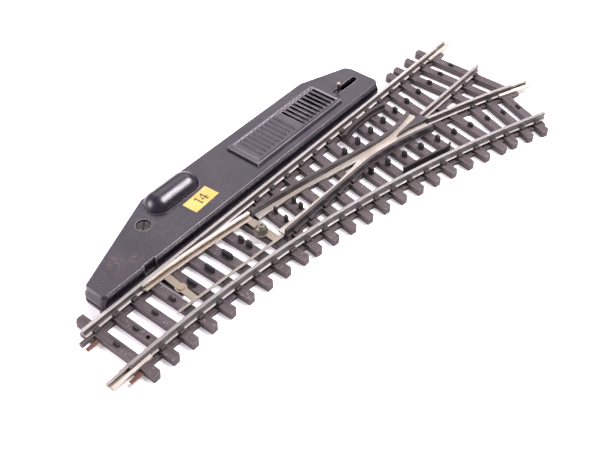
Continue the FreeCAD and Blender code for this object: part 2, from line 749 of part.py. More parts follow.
def makeDetentSpring():
    # Leaf lying beside the link, held by one screw post
    leaf = box(46.0, 62.0, 20.2, 20.45, 1.6, 4.6)
    foot = box(46.0, 50.0, 20.45, 23.5, 1.6, 1.9)
    return fuse([leaf, foot])


def makeSpringPost():
    return box(45.5, 50.5, 20.2, 24.0, wall, 1.6)


def makeTerminalBlock():
    block = box(60.5, 72.5, 24.4, 28.6, wall, 4.6)
    for i in range(3):
        block = block.cut(box(61.9 + 3.6 * i, 63.9 + 3.6 * i, 26.2, 29, 2.0, 5))
    return block


def makeTerminals():
    blades = []
    for i in range(3):
        x = 62.9 + 3.6 * i
        blades.append(box(x - 0.7, x + 0.7, 26.2, 28.3, 2.0, 2.4))
        blades.append(box(x - 0.7, x + 0.7, 26.2, 26.6, 2.4, 5.6))
    return [fuse(blades[2 * i:2 * i + 2]) for i in range(3)]


# ---------------------------------------------------------------- export

def save(name, shape):
    shape.exportStep(os.path.join("parts", name + ".step"))
    solids = shape.Solids
    print(name, len(solids), round(shape.Volume, 2), shape.isValid())


def main():
    os.makedirs("parts", exist_ok=True)
    toeJoint, straightJoint, divergingJoint = joinerPlaces()
    nodes = {
        "tie_bed": makeTieBed(),
        "rail_chairs": makeChairs(),
        "slide_plates": makeSlidePlates(),
        "stock_rail_straight": makeStraightStock(),
        "stock_rail_curved": makeCurvedStock(),
        "exit_rail_straight": makeExitStraight(),
        "exit_rail_diverging": makeExitDiverging(),
        "closure_guide_left": makeGuideLeft(),
        "closure_guide_right": makeGuideRight(),
        "frog_nose": makeNose(),
        "frog_contact_plate": makeFrogPlate(),
        "check_rail_left": makeCheckLeft(),
        "check_rail_right": makeCheckRight(),
        "rail_joiner_toe": makeJoiner(toeJoint),
        "rail_joiner_straight": makeJoiner(straightJoint),
        "rail_joiner_diverging": makeJoiner(divergingJoint),
        "centre_studs": makeStuds(),
        "contact_tongue_left": tongue(4.6, 5.8),
        "contact_tongue_right": tongue(-11.8, -10.6),
        "pivot_knob": makePivotKnob(),
        "blade_left": makeBladeLeft(),
        "blade_right": makeBladeRight(),
        "stretcher_bar": makeStretcher(),
        "heel_plate": makeHeelPlate(),
        "heel_skirt": makeHeelSkirt(),
        "throw_rod": makeThrowRod(),
        "drive_pin": makeDrivePin(),
        "cam_pin": makeCamPin(),
        "motor_base": makeBase(),
        "motor_cover": makeCover(),
        "vent_panel": makeVentPanel(),
        "cover_screw": makeScrew(),
        "number_label": makeLabel(),
        "coil_bobbin_near": bobbin(*coilSpans[0]),
        "coil_bobbin_far": bobbin(*coilSpans[1]),
        "coil_winding_near": winding(*coilSpans[0]),
        "coil_winding_far": winding(*coilSpans[1]),
        "coil_yoke": makeYoke(),
        "plunger": makePlunger(),
        "lever_slider": makeLeverSlider(),
        "lever_pin": makeLeverPin(),
        "cam_link": makeCamLink(),
        "detent_spring": makeDetentSpring(),
        "spring_post": makeSpringPost(),
        "terminal_block": makeTerminalBlock(),
        "terminals": Part.makeCompound(makeTerminals()),
    }
    for name, shape in nodes.items():
        save(name, shape)


main()
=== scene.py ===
import math

import bpy
import numpy as np
from mathutils import Matrix


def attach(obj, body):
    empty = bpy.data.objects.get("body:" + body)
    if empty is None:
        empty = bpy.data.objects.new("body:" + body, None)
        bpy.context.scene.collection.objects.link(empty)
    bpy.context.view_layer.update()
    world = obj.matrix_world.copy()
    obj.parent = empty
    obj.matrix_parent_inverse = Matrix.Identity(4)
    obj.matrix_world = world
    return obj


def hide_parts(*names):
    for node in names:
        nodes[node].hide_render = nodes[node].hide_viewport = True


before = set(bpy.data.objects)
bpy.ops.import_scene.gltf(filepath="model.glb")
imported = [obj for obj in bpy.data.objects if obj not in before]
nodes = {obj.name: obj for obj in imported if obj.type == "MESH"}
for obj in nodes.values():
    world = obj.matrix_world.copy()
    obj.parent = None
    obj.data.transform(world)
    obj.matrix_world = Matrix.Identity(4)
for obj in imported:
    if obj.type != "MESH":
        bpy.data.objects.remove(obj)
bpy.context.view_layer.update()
mm = 0.001
print("frame loaded:", len(nodes), "nodes")


camera = {
    "place": (-0.08114, -0.13033, 0.190455),
    "right": (0.62874, -0.77761, -0.00211),
    "up": (0.54525, 0.43892, 0.71418),
    "back": (-0.55443, -0.45018, 0.69996),
    "lens": 54.669,
}


def makeCamera():
    data = bpy.data.cameras.new("viewCamera")
    data.lens = camera["lens"]
    data.sensor_width = 36
    data.clip_start = 0.01
    seen = bpy.data.objects.new("viewCamera", data)
    columns = (camera["right"], camera["up"], camera["back"])
    turn = Matrix(columns).transposed().to_4x4()
    seen.matrix_world = Matrix.Translation(camera["place"]) @ turn
    bpy.context.collection.objects.link(seen)
    bpy.context.scene.camera = seen


studio = {
    "middle": (0.085, 0.0, 0.0),
    "floorSize": 6.0,
    "ambient": 0.30,
    "tint": (1.0, 0.915, 0.985),
    "floorGlow": 0.30,
    "floorDark": (0.86, 0.86, 0.86, 1),
    "floorLight": (0.93, 0.93, 0.93, 1),
    # name: direction and height in degrees, distance, width, height, power
    "key": (-32, 58, 0.75, 0.46, 0.30, 10.0),
    "left": (142, 28, 0.80, 0.46, 0.34, 6.0),
    "back": (46, 42, 0.95, 0.90, 0.55, 3.3),
}


def areaLight(name):
    azimuth, height, distance, width, depth, power = studio[name]
    data = bpy.data.lights.new(name + "Light", "AREA")
    data.shape = "RECTANGLE"
    data.size = width
    data.size_y = depth
    data.energy = power
    data.color = studio["tint"]
    lamp = bpy.data.objects.new(name + "Light", data)
    a, h = math.radians(azimuth), math.radians(height)
    reach = distance * math.cos(h)
    x, y, z = studio["middle"]
    lamp.location = (x + reach * math.cos(a), y + reach * math.sin(a), z + distance * math.sin(h))
    lamp.rotation_euler = (0, math.pi / 2 - h, a)
    lamp.rotation_euler.rotate_axis("Z", math.pi / 2)
    bpy.context.collection.objects.link(lamp)


def makeStudio():
    world = bpy.data.worlds.new("studioAir")
    world.use_nodes = True
    background = world.node_tree.nodes["Background"]
    background.inputs["Color"].default_value = (*studio["tint"], 1)
    background.inputs["Strength"].default_value = studio["ambient"]
    bpy.context.scene.world = world
    bpy.context.scene.view_settings.view_transform = "Standard"
    for name in ("key", "left", "back"):
        areaLight(name)
    half = studio["floorSize"] / 2
    corners = np.array([(-1, -1, 0), (1, -1, 0), (1, 1, 0), (-1, 1, 0)]) * half
    floor = pieceFrom("studioFloor", corners, [(0, 1, 2, 3)], floorPaint())
    print("studio made")


def pieceFrom(name, points, faces, material, uv=None):
    mesh = bpy.data.meshes.new(name)
    mesh.from_pydata(np.asarray(points).reshape(-1, 3).tolist(), [], faces)
    if uv is not None:
        corners = np.zeros(len(mesh.loops), np.int32)
        mesh.loops.foreach_get("vertex_index", corners)
        layer = mesh.uv_layers.new(name="grainMap")
        layer.data.foreach_set("uv", np.asarray(uv, float).reshape(-1, 2)[corners].ravel())
    mesh.polygons.foreach_set("use_smooth", np.ones(len(mesh.polygons), bool))
    mesh.materials.append(material)
    made = bpy.data.objects.new(name, mesh)
    bpy.context.collection.objects.link(made)
    return made


def gridFaces(rows, columns, start=0):
    # Quads of a grid whose columns close on themselves, rows running open
    r = np.arange(rows - 1)[:, None]
    c = np.arange(columns)[None, :]
    a = start + r * columns + c
    b = start + r * columns + (c + 1) % columns
    return np.stack([a, b, b + columns, a + columns], axis=-1).reshape(-1, 4).tolist()


def lathe(name, centre, profile, turns, material):
    # Turned piece: each (radius, height) of the profile is carried round the centre's upright line,
    # point = centre + (radius cos t, radius sin t, height); both ends are closed with a disc
    line = np.asarray(profile, float)
    t = np.linspace(0, 2 * math.pi, turns, endpoint=False)[None, :]
    radius, height = line[:, :1], line[:, 1:]
    rows = np.stack([radius * np.cos(t), radius * np.sin(t), height + 0 * t], axis=-1)
    points = (rows + np.asarray(centre)) * mm
    faces = gridFaces(len(line), turns)
    faces.append(list(range(turns))[::-1])
    faces.append(list(range((len(line) - 1) * turns, len(line) * turns)))
    return pieceFrom(name, points, faces, material)


def rounded(corners, radius, steps=4):
    # Broken line with its inner corners replaced by arcs of a quadratic curve
    points = np.asarray(corners, float)
    out = [points[:1]]
    for i in range(1, len(points) - 1):
        before = points[i - 1] - points[i]
        after = points[i + 1] - points[i]
        cut = min(radius, 0.45 * np.linalg.norm(before), 0.45 * np.linalg.norm(after))
        a = points[i] + before / np.linalg.norm(before) * cut
        b = points[i] + after / np.linalg.norm(after) * cut
        t = np.linspace(0, 1, steps)[:, None]
        out.append((1 - t) ** 2 * a + 2 * t * (1 - t) * points[i] + t ** 2 * b)
    out.append(points[-1:])
    return np.concatenate(out)


def facingOut(points, faces):
    # Turns every face round when the closed surface encloses a negative volume
    p = np.asarray(points, float).reshape(-1, 3)
    volume = 0.0
    for count in (3, 4):
        some = np.array([f for f in faces if len(f) == count], int)
        if len(some):
            a, b, c = p[some[:, 0]], p[some[:, 1]], p[some[:, 2]]
            volume += np.sum(np.cross(a, b) * c)
            if count == 4:
                volume += np.sum(np.cross(a, c) * p[some[:, 3]])
    return faces if volume > 0 else [tuple(f)[::-1] for f in faces]


def wire(tree, node, socket, value):
    target = node.inputs[socket]
    if isinstance(value, bpy.types.NodeSocket):
        tree.links.new(value, target)
    else:
        target.default_value = value


def add(tree, kind, settings=None, **inputs):
    node = tree.nodes.new("ShaderNode" + kind)
    for name, value in (settings or {}).items():
        setattr(node, name, value)
    for name, value in inputs.items():
        wire(tree, node, name.replace("_", " "), value)
    return node


def math2(tree, operation, a, b=0.0, clamp=False):
    node = tree.nodes.new("ShaderNodeMath")
    node.operation = operation
    node.use_clamp = clamp
    wire(tree, node, 0, a)
    wire(tree, node, 1, b)
    return node.outputs[0]


def span(tree, value, low, high, start=0.0, end=1.0):
    # Value taken from low..high to start..end, smoothly and held at both ends
    node = add(tree, "MapRange", {"interpolation_type": "SMOOTHSTEP"})
    wire(tree, node, "Value", value)
    wire(tree, node, "From Min", low)
    wire(tree, node, "From Max", high)
    wire(tree, node, "To Min", start)
    wire(tree, node, "To Max", end)
    return node.outputs["Result"]


def blend(tree, share, a, b):
    node = add(tree, "Mix", {"data_type": "RGBA"})
    wire(tree, node, "Factor", share)
    wire(tree, node, 6, a)
    wire(tree, node, 7, b)
    return node.outputs[2]


def noise(tree, vector, scale, detail=3.0, rough=0.55):
    node = add(tree, "TexNoise", Vector=vector, Scale=scale, Detail=detail, Roughness=rough)
    return node.outputs[0]


def objectPlace(tree):
    return add(tree, "TexCoord").outputs["Object"]


def newGroup(name, inputs, outputs):
    group = bpy.data.node_groups.new(name, "ShaderNodeTree")
    for label, kind, value in inputs:
        socket = group.interface.new_socket(label, in_out="INPUT", socket_type=kind)
        if value is not None:
            socket.default_value = value
    for label, kind in outputs:
        group.interface.new_socket(label, in_out="OUTPUT", socket_type=kind)
    return group, group.nodes.new("NodeGroupInput"), group.nodes.new("NodeGroupOutput")


number = "NodeSocketFloat"
direction = "NodeSocketVector"


def makeEdgeWearAndHighlight():
    # Mask that is 1 where the surface turns sharply within the width, broken up by noise; it lays wear on
    # edges, and on the cover and vent panel a painted highlight
    inputs = [("Width", number, 0.0002), ("Strength", number, 3.0), ("Breakup", number, 900.0)]
    group, given, result = newGroup("edgeWearAndHighlight", inputs, [("Mask", number)])
    rim = add(group, "Bevel", {"samples": 4}, Radius=given.outputs["Width"])
    flat = add(group, "NewGeometry")
    turned = add(group, "VectorMath", {"operation": "DOT_PRODUCT"})
    wire(group, turned, 0, rim.outputs[0])
    wire(group, turned, 1, flat.outputs["Normal"])
    sharp = math2(group, "SUBTRACT", 1.0, turned.outputs["Value"])
    patchy = noise(group, objectPlace(group), given.outputs["Breakup"])
    kept = math2(group, "MULTIPLY", sharp, span(group, patchy, 0.3, 0.62, 0.35, 1.0))
    mask = math2(group, "MULTIPLY", kept, given.outputs["Strength"], clamp=True)
    wire(group, result, "Mask", mask)
    return group


def makeDust():
    # Fine specks and soft blotches of dust, more on faces that look up
    inputs = [("Specks", number, 1400.0), ("Amount", number, 0.4), ("Blotches", number, 90.0)]
    group, given, result = newGroup("settledDust", inputs, [("Mask", number), ("Blotch", number)])
    place = objectPlace(group)
    specks = span(group, noise(group, place, given.outputs["Specks"], 2.0), 0.60, 0.74)
    cloud = noise(group, place, given.outputs["Blotches"], 4.0)
    facing = add(group, "SeparateXYZ", Vector=add(group, "NewGeometry").outputs["Normal"])
    up = span(group, facing.outputs["Z"], 0.2, 0.9, 0.25, 1.0)
    both = math2(group, "MULTIPLY", specks, span(group, cloud, 0.35, 0.7, 0.3, 1.0))
    mask = math2(group, "MULTIPLY", math2(group, "MULTIPLY", both, up), given.outputs["Amount"], clamp=True)
    wire(group, result, "Mask", mask)
    wire(group, result, "Blotch", cloud)
    return group


def makeStreaks():
    # Fine lines drawn out along one direction of the given coordinates
    inputs = [("Vector", direction, None), ("Along", number, 60.0), ("Across", number, 1500.0)]
    group, given, result = newGroup("drawnStreaks", inputs, [("Value", number)])
    parts = add(group, "SeparateXYZ", Vector=given.outputs["Vector"])
    u = math2(group, "MULTIPLY", parts.outputs["X"], given.outputs["Along"])
    v = math2(group, "MULTIPLY", parts.outputs["Y"], given.outputs["Across"])
    w = math2(group, "MULTIPLY", parts.outputs["Z"], given.outputs["Across"])
    joined = add(group, "CombineXYZ", X=u, Y=v, Z=w)
    wire(group, result, "Value", noise(group, joined.outputs[0], 1.0, 3.0, 0.6))
    return group


shared = {}


def useGroup(tree, name, **inputs):
    node = add(tree, "Group", {"node_tree": shared[name]})
    for label, value in inputs.items():
        wire(tree, node, label, value)
    return node


def newMaterial(name):
    material = bpy.data.materials.new(name)
    material.use_nodes = True
    tree = material.node_tree
    return material, tree, tree.nodes["Principled BSDF"]


def bump(tree, shader, height, distance):
    node = add(tree, "Bump", Height=height)
    node.inputs["Distance"].default_value = distance
    node.inputs["Strength"].default_value = 1.0
    tree.links.new(node.outputs[0], shader.inputs["Normal"])


def floorPaint():
    material, tree, shader = newMaterial("paleFloor")
    tone = span(tree, noise(tree, objectPlace(tree), 8.0), 0.3, 0.7, 0.90, 0.93)
    wire(tree, shader, "Base Color", blend(tree, tone, studio["floorDark"], studio["floorLight"]))
    shader.inputs["Roughness"].default_value = 0.9
    shader.inputs["Specular IOR Level"].default_value = 0.1
    shader.inputs["Emission Color"].default_value = (1, 0.93, 1, 1)
    shader.inputs["Emission Strength"].default_value = studio["floorGlow"]
    return material


def moulded(name, look):
    # Moulded plastic: colour that drifts a little, scuffed edges, settled dust, faint orange peel
    material, tree, shader = newMaterial(name)
    place = objectPlace(tree)
    dust = useGroup(tree, "settledDust", Amount=look["dust"])
    drift = span(tree, dust.outputs["Blotch"], 0.35, 0.68)
    colour = blend(tree, drift, look["dark"], look["light"])
    wearAndHighlight = useGroup(tree, "edgeWearAndHighlight", Width=look["edge"], Strength=look["scuffAndHighlight"])
    colour = blend(tree, wearAndHighlight.outputs["Mask"], colour, look["wornAndHighlit"])
    colour = blend(tree, dust.outputs["Mask"], colour, look["dustColour"])
    wire(tree, shader, "Base Color", colour)
    haze = noise(tree, place, 260.0, 4.0)
    base = span(tree, haze, 0.3, 0.7, look["gloss"] - 0.05, look["gloss"] + 0.08)
    rough = math2(tree, "ADD", base, math2(tree, "MULTIPLY", dust.outputs["Mask"], 0.4), clamp=True)
    wire(tree, shader, "Roughness", rough)
    bump(tree, shader, noise(tree, place, peel["scale"]), peel["depth"])
    return material


plasticLooks = {
    "guide": {
        "dark": (0.030, 0.024, 0.025, 1), "light": (0.050, 0.040, 0.041, 1), "wornAndHighlit": (0.16, 0.14, 0.14, 1),
        "dustColour": (0.30, 0.27, 0.26, 1), "dust": 0.35, "edge": 0.00018, "scuffAndHighlight": 2.2, "gloss": 0.38,
    },
    "check": {
        "dark": (0.018, 0.013, 0.014, 1), "light": (0.030, 0.022, 0.022, 1), "wornAndHighlit": (0.13, 0.11, 0.11, 1),
        "dustColour": (0.22, 0.19, 0.18, 1), "dust": 0.25, "edge": 0.00018, "scuffAndHighlight": 2.0, "gloss": 0.60,
    },
    "slide": {
        "dark": (0.014, 0.012, 0.012, 1), "light": (0.024, 0.020, 0.020, 1), "wornAndHighlit": (0.10, 0.09, 0.09, 1),
        "dustColour": (0.2, 0.18, 0.17, 1), "dust": 0.3, "edge": 0.0001, "scuffAndHighlight": 1.0, "gloss": 0.45,
    },
    "rod": {
        "dark": (0.020, 0.017, 0.018, 1), "light": (0.032, 0.027, 0.028, 1), "wornAndHighlit": (0.12, 0.10, 0.10, 1),
        "dustColour": (0.3, 0.26, 0.25, 1), "dust": 0.2, "edge": 0.0002, "scuffAndHighlight": 1.5, "gloss": 0.42,
    },
    "bobbin": {
        "dark": (0.018, 0.015, 0.014, 1), "light": (0.030, 0.025, 0.023, 1), "wornAndHighlit": (0.10, 0.09, 0.08, 1),
        "dustColour": (0.3, 0.27, 0.25, 1), "dust": 0.2, "edge": 0.0002, "scuffAndHighlight": 1.0, "gloss": 0.4,
    },
    "base": {
        "dark": (0.034, 0.030, 0.034, 1), "light": (0.060, 0.053, 0.057, 1), "wornAndHighlit": (0.17, 0.15, 0.15, 1),
        "dustColour": (0.28, 0.25, 0.24, 1), "dust": 0.3, "edge": 0.0002, "scuffAndHighlight": 1.4, "gloss": 0.34,
    },
}
peel = {"scale": 900.0, "depth": 0.00001}


tieLook = {
    "dark": (0.029, 0.0205, 0.021, 1), "light": (0.068, 0.051, 0.051, 1), "pale": (0.10, 0.083, 0.084, 1),
    "wornAndHighlit": (0.25, 0.215, 0.21, 1), "dustColour": (0.40, 0.36, 0.35, 1),
}


def tiePlastic():
    # Grained brown plastic: streaks follow each tie, edges rubbed lighter, dust on the tops
    material, tree, shader = newMaterial("tiePlastic")
    place = objectPlace(tree)
    along = add(tree, "UVMap", {"uv_map": "grainMap"}).outputs["UV"]
    fine = useGroup(tree, "drawnStreaks", Vector=along, Along=130.0, Across=2600.0).outputs["Value"]
    broad = useGroup(tree, "drawnStreaks", Vector=along, Along=35.0, Across=700.0).outputs["Value"]
    lines = math2(tree, "ADD", math2(tree, "MULTIPLY", fine, 0.5), math2(tree, "MULTIPLY", broad, 0.5))
    colour = blend(tree, span(tree, lines, 0.38, 0.62), tieLook["dark"], tieLook["light"])
    dust = useGroup(tree, "settledDust", Amount=0.45, Specks=1100.0, Blotches=70.0)
    pale = span(tree, dust.outputs["Blotch"], 0.3, 0.75, 0.0, 0.35)
    colour = blend(tree, pale, colour, tieLook["pale"])
    wearAndHighlight = useGroup(tree, "edgeWearAndHighlight", Width=0.00028, Strength=2.4)
    colour = blend(tree, wearAndHighlight.outputs["Mask"], colour, tieLook["wornAndHighlit"])
    colour = blend(tree, dust.outputs["Mask"], colour, tieLook["dustColour"])
    wire(tree, shader, "Base Color", colour)
    wire(tree, shader, "Roughness", span(tree, lines, 0.35, 0.65, 0.44, 0.62))
    bump(tree, shader, math2(tree, "ADD", lines, noise(tree, place, 1800.0)), 0.00003)
    return material


def spot(tree, place, x, y, size):
    # 1 at a place on the cover's top, fading to 0 at the size
    coverTop = 7.4
    away = add(tree, "VectorMath", {"operation": "SUBTRACT"})
    wire(tree, away, 0, place)
    wire(tree, away, 1, (x * mm, y * mm, coverTop * mm))
    reach = add(tree, "VectorMath", {"operation": "LENGTH"})
    wire(tree, reach, 0, away.outputs[0])
    return span(tree, reach.outputs["Value"], 0.0, size * mm, 1.0, 0.0)


coverLook = {
    # each stain: x, y and size in millimetres, and its share of rust
    "stains": [
        (20.5, 17.5, 4.5, 0.85), (25.5, 15.0, 3.2, 0.7), (17.5, 13.5, 2.5, 0.35), (38.0, 15.5, 7.0, 0.18),
        (72.0, 20.5, 6.0, 0.14), (127.0, 21.5, 6.5, 0.22), (119.0, 24.5, 6.0, 0.2),
    ],
    "rust": (0.095, 0.055, 0.042, 1), "scratch": (0.13, 0.12, 0.13, 1),
    # light edge colour and its strength: partly rubbing, partly a painted highlight on the top edges and the
    # vent's rib crests
    "wornAndHighlit": (0.42, 0.39, 0.42, 1), "dustColour": (0.30, 0.28, 0.28, 1),
    "cover": {"dark": (0.006, 0.0045, 0.012, 1), "light": (0.014, 0.010, 0.018, 1), "scuffAndHighlight": 4.0},
    "vent": {"dark": (0.026, 0.024, 0.032, 1), "light": (0.040, 0.037, 0.046, 1), "scuffAndHighlight": 6.0},
}


def rustStains(tree, place, colour):
    patchy = span(tree, noise(tree, place, 650.0, 6.0, 0.75), 0.44, 0.62)
    for x, y, size, share in coverLook["stains"]:
        mask = math2(tree, "MULTIPLY", spot(tree, place, x, y, size), patchy)
        colour = blend(tree, math2(tree, "MULTIPLY", mask, share), colour, coverLook["rust"])
    return colour


def coverPlastic(name, part, stained):
    # Black plastic polished by handling: hazy gloss, rust stains, hairline scratches, and rubbed edges with a
    # painted highlight along them
    material, tree, shader = newMaterial(name)
    look, tones = coverLook, coverLook[part]
    place = objectPlace(tree)
    dust = useGroup(tree, "settledDust", Amount=0.3, Specks=1500.0, Blotches=55.0)
    colour = blend(tree, span(tree, dust.outputs["Blotch"], 0.3, 0.7), tones["dark"], tones["light"])
    if stained:
        colour = rustStains(tree, place, colour)
    scratches = useGroup(tree, "drawnStreaks", Vector=place, Along=70.0, Across=1900.0).outputs["Value"]
    fine = span(tree, scratches, 0.66, 0.72)
    colour = blend(tree, math2(tree, "MULTIPLY", fine, 0.25), colour, look["scratch"])
    # light lines on the edges and rib crests: partly rubbed plastic, partly painted highlight
    wearAndHighlight = useGroup(tree, "edgeWearAndHighlight", Width=0.0004, Strength=tones["scuffAndHighlight"], Breakup=220.0)
    colour = blend(tree, wearAndHighlight.outputs["Mask"], colour, look["wornAndHighlit"])
    colour = blend(tree, dust.outputs["Mask"], colour, look["dustColour"])
    wire(tree, shader, "Base Color", colour)
    haze = span(tree, noise(tree, place, 120.0, 5.0, 0.65), 0.3, 0.7, 0.24, 0.36)
    rough = math2(tree, "ADD", haze, math2(tree, "MULTIPLY", fine, 0.2), clamp=True)
    wire(tree, shader, "Roughness", rough)
    shader.inputs["IOR"].default_value = 1.56
    relief = math2(tree, "ADD", noise(tree, place, 700.0), math2(tree, "MULTIPLY", fine, 0.5))
    bump(tree, shader, relief, 0.000006)
    return material


def bands(tree, place, steps):
    # Colour ramp over the height: each step is (height in mm, colour, share of dull film)
    # the dark steps on the rail webs, under the rail heads and in the screw's slot paint the shade that falls
    # there
    low, high = steps[0][0] * mm, steps[-1][0] * mm
    height = add(tree, "MapRange", Value=add(tree, "SeparateXYZ", Vector=place).outputs["Z"])
    wire(tree, height, "From Min", low)
    wire(tree, height, "From Max", high)
    ramp = add(tree, "ValToRGB", Fac=height.outputs["Result"])
    stops = ramp.color_ramp.elements
    for i, (z, colour, share) in enumerate(steps):
        part = (z * mm - low) / (high - low)
        stop = stops[i] if i < 2 else stops.new(part)
        stop.position = part
        stop.color = (*colour, share)
    return ramp


def cornerShadeAndGrime(tree, place, reach):
    # Mask from occlusion in inner corners, thinned out in patches: painted shade there, with some grime
    corner = add(tree, "AmbientOcclusion", {"samples": 8}, Distance=reach * mm)
    deep = span(tree, corner.outputs["AO"], 0.92, 0.66, 0.0, 0.95)
    return math2(tree, "MULTIPLY", deep, span(tree, noise(tree, place, 400.0), 0.3, 0.6, 0.6, 1.0))


def metal(name, look):
    # Drawn metal: tint by height (on rails and screw its dark steps are painted shade), dull film, painted
    # shade with grime in inner corners, fine lines, bright edges (on the screw partly a painted highlight)
    material, tree, shader = newMaterial(name)
    place = objectPlace(tree)
    blotches = look.get("blotches", 110.0)
    dust = useGroup(tree, "settledDust", Amount=look["dust"], Specks=1300.0, Blotches=blotches)
    film = span(tree, dust.outputs["Blotch"], 0.38, 0.7, 0.0, look["tarnish"])
    colour, soiled = blend(tree, film, look["bright"], look["film"]), film
    if "bands" in look:
        # height bands: on rails and screw partly painted shade
        ramp = bands(tree, place, look["bands"])
        colour = blend(tree, ramp.outputs["Alpha"], colour, ramp.outputs["Color"])
        soiled = math2(tree, "MAXIMUM", film, ramp.outputs["Alpha"])
    if "shadeAndGrime" in look:
        # painted shade in inner corners, with golden-brown grime
        shadeAndGrime = cornerShadeAndGrime(tree, place, look["shadeAndGrimeReach"])
        colour = blend(tree, shadeAndGrime, colour, look["shadeAndGrime"])
        soiled = math2(tree, "MAXIMUM", soiled, shadeAndGrime)
    lines = useGroup(tree, "drawnStreaks", Vector=place, Along=40.0, Across=1100.0).outputs["Value"]
    colour = blend(tree, span(tree, lines, 0.35, 0.65, 0.2, 0.0), colour, look["film"])
    # light edges: wear, and on the screw partly a painted highlight on the rim
    wearAndHighlight = useGroup(tree, "edgeWearAndHighlight", Width=0.0001, Strength=0.7)
    colour = blend(tree, wearAndHighlight.outputs["Mask"], colour, look["edge"])
    colour = blend(tree, dust.outputs["Mask"], colour, metalDust)
    wire(tree, shader, "Base Color", colour)
    shine = math2(tree, "SUBTRACT", 1.0, math2(tree, "MULTIPLY", soiled, 0.9), clamp=True)
    wire(tree, shader, "Metallic", shine)
    grain = span(tree, lines, 0.3, 0.7, look["rough"] - 0.05, look["rough"] + 0.1)
    rough = math2(tree, "ADD", grain, math2(tree, "MULTIPLY", soiled, 0.3), clamp=True)
    wire(tree, shader, "Roughness", rough)
    bump(tree, shader, math2(tree, "ADD", lines, noise(tree, place, 1500.0)), 0.000005)
    return material


